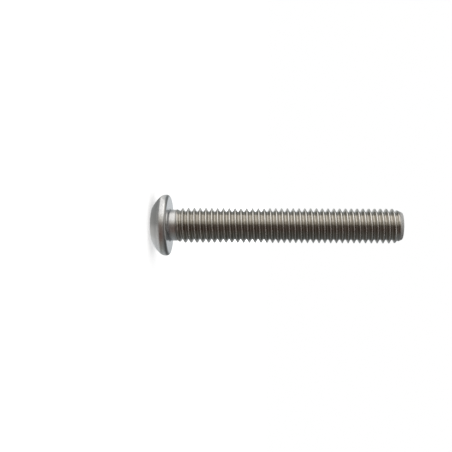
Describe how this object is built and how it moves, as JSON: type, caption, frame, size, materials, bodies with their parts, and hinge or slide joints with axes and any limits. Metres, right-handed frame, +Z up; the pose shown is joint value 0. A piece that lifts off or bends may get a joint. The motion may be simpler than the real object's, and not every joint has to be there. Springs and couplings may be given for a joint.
{
  "type": "button head screw",
  "caption": "Stainless steel button head screw with a hexagon socket and a metric thread that runs from just under the head to the tip.",
  "frame": {"origin": "centre of the bearing face, the flat underside of the head, on the screw's axis", "axes": "+Z is up, and it is the screw's axis, from the head to the tip. The screw stands on the flat crown of its head, with its tip up. The hexagon has a corner 20 degrees from +X towards +Y."},
  "size_m": [0.0104, 0.0104, 0.043],
  "materials": {
    "steel": "satin stainless steel, bright on the thread's crests"
  },
  "bodies": {
    "root": {"screw": "steel"}
  },
  "joints": []
}
